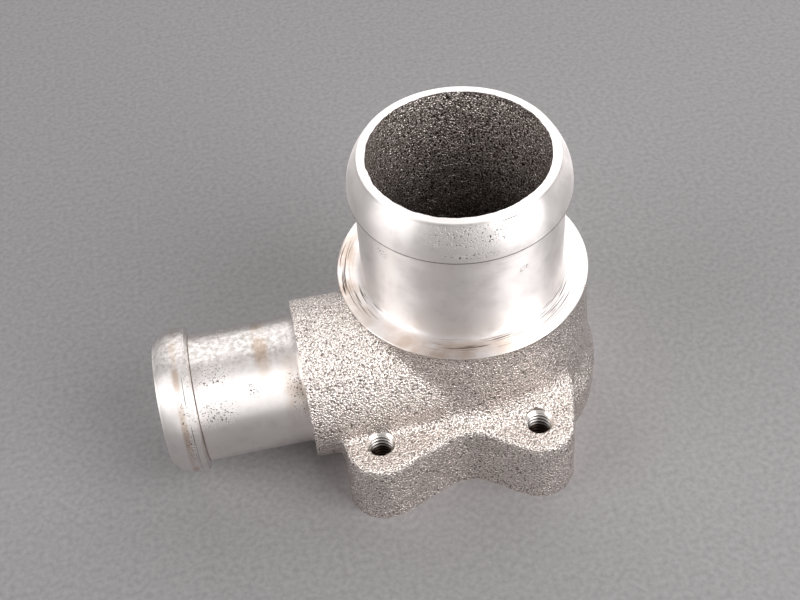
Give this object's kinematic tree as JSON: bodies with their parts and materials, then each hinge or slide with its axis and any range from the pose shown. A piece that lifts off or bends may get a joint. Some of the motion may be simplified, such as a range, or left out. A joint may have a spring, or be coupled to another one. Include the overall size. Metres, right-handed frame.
{
  "type": "intermediate coolant flange",
  "caption": "Cast aluminium coolant flange: an upright hose neck on a round barrel, a smaller side hose neck and tapped ears on a flat joint face.",
  "frame": {"origin": "centre of the bounding box in plan, on the flat joint face (Z = 0)", "axes": "+Z along the large hose neck towards its free end; the small hose neck runs along -X; the tapped ears are at the -Y side"},
  "size_m": [0.0956, 0.0671, 0.0657],
  "materials": {
    "cast_aluminium": "sand-cast body, satin turned necks"
  },
  "bodies": {
    "root": {"flange_casting": "cast_aluminium"}
  },
  "joints": []
}
